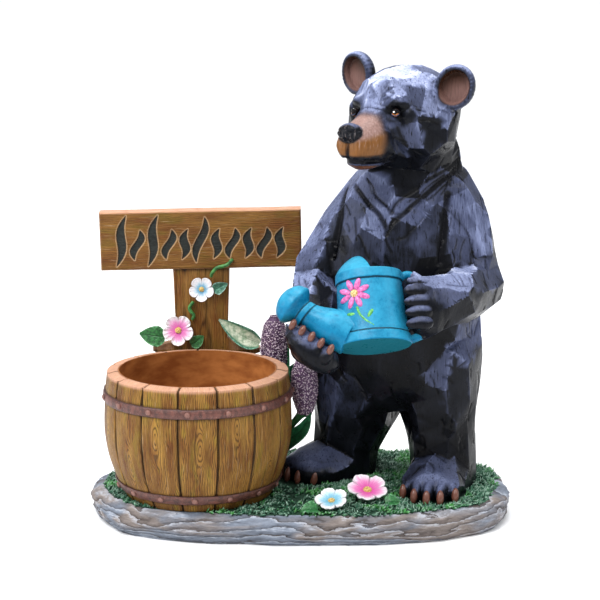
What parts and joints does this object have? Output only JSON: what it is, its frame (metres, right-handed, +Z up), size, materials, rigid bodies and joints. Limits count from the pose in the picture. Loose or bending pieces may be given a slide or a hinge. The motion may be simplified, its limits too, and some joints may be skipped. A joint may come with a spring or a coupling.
{
  "type": "bear planter statue",
  "caption": "Painted resin garden statue: a standing carved-look bear tips a watering can beside a barrel planter with a sign on a post, on a rock and grass base.",
  "frame": {"origin": "middle of the box around the part, at the base's underside", "axes": "+Z up; the bear and the barrel face -Y; +X is to the right of someone facing the front"},
  "size_m": [0.295, 0.175, 0.3196],
  "materials": {
    "rock": "painted resin, matt, rough",
    "fur": "painted resin, satin gloss, blue black",
    "can": "painted resin, satin gloss, turquoise",
    "barrel": "painted resin, oak grain, matt",
    "plank": "painted resin, plank grain, matt",
    "leaf": "painted resin, satin green",
    "pink_petal": "painted resin, satin pink and white",
    "blue_petal": "painted resin, satin pale blue",
    "spike": "painted resin, speckled purple"
  },
  "bodies": {
    "root": {"rock_base": "rock", "bear": "fur", "watering_can": "can", "barrel_planter": "barrel", "signboard": "plank", "post_blue_flower": "blue_petal", "post_pink_flower": "pink_petal", "post_blue_leaf": "leaf", "post_pink_leaf_left": "leaf", "post_pink_leaf_right": "leaf", "post_vine_upper": "leaf", "post_vine_lower": "leaf", "folded_leaf": "leaf", "tall_flower_spike": "spike", "short_flower_spike": "spike", "ground_pink_flower": "pink_petal", "ground_blue_flower": "blue_petal", "ground_pink_leaf": "leaf", "ground_blue_leaf": "leaf"}
  },
  "joints": []
}
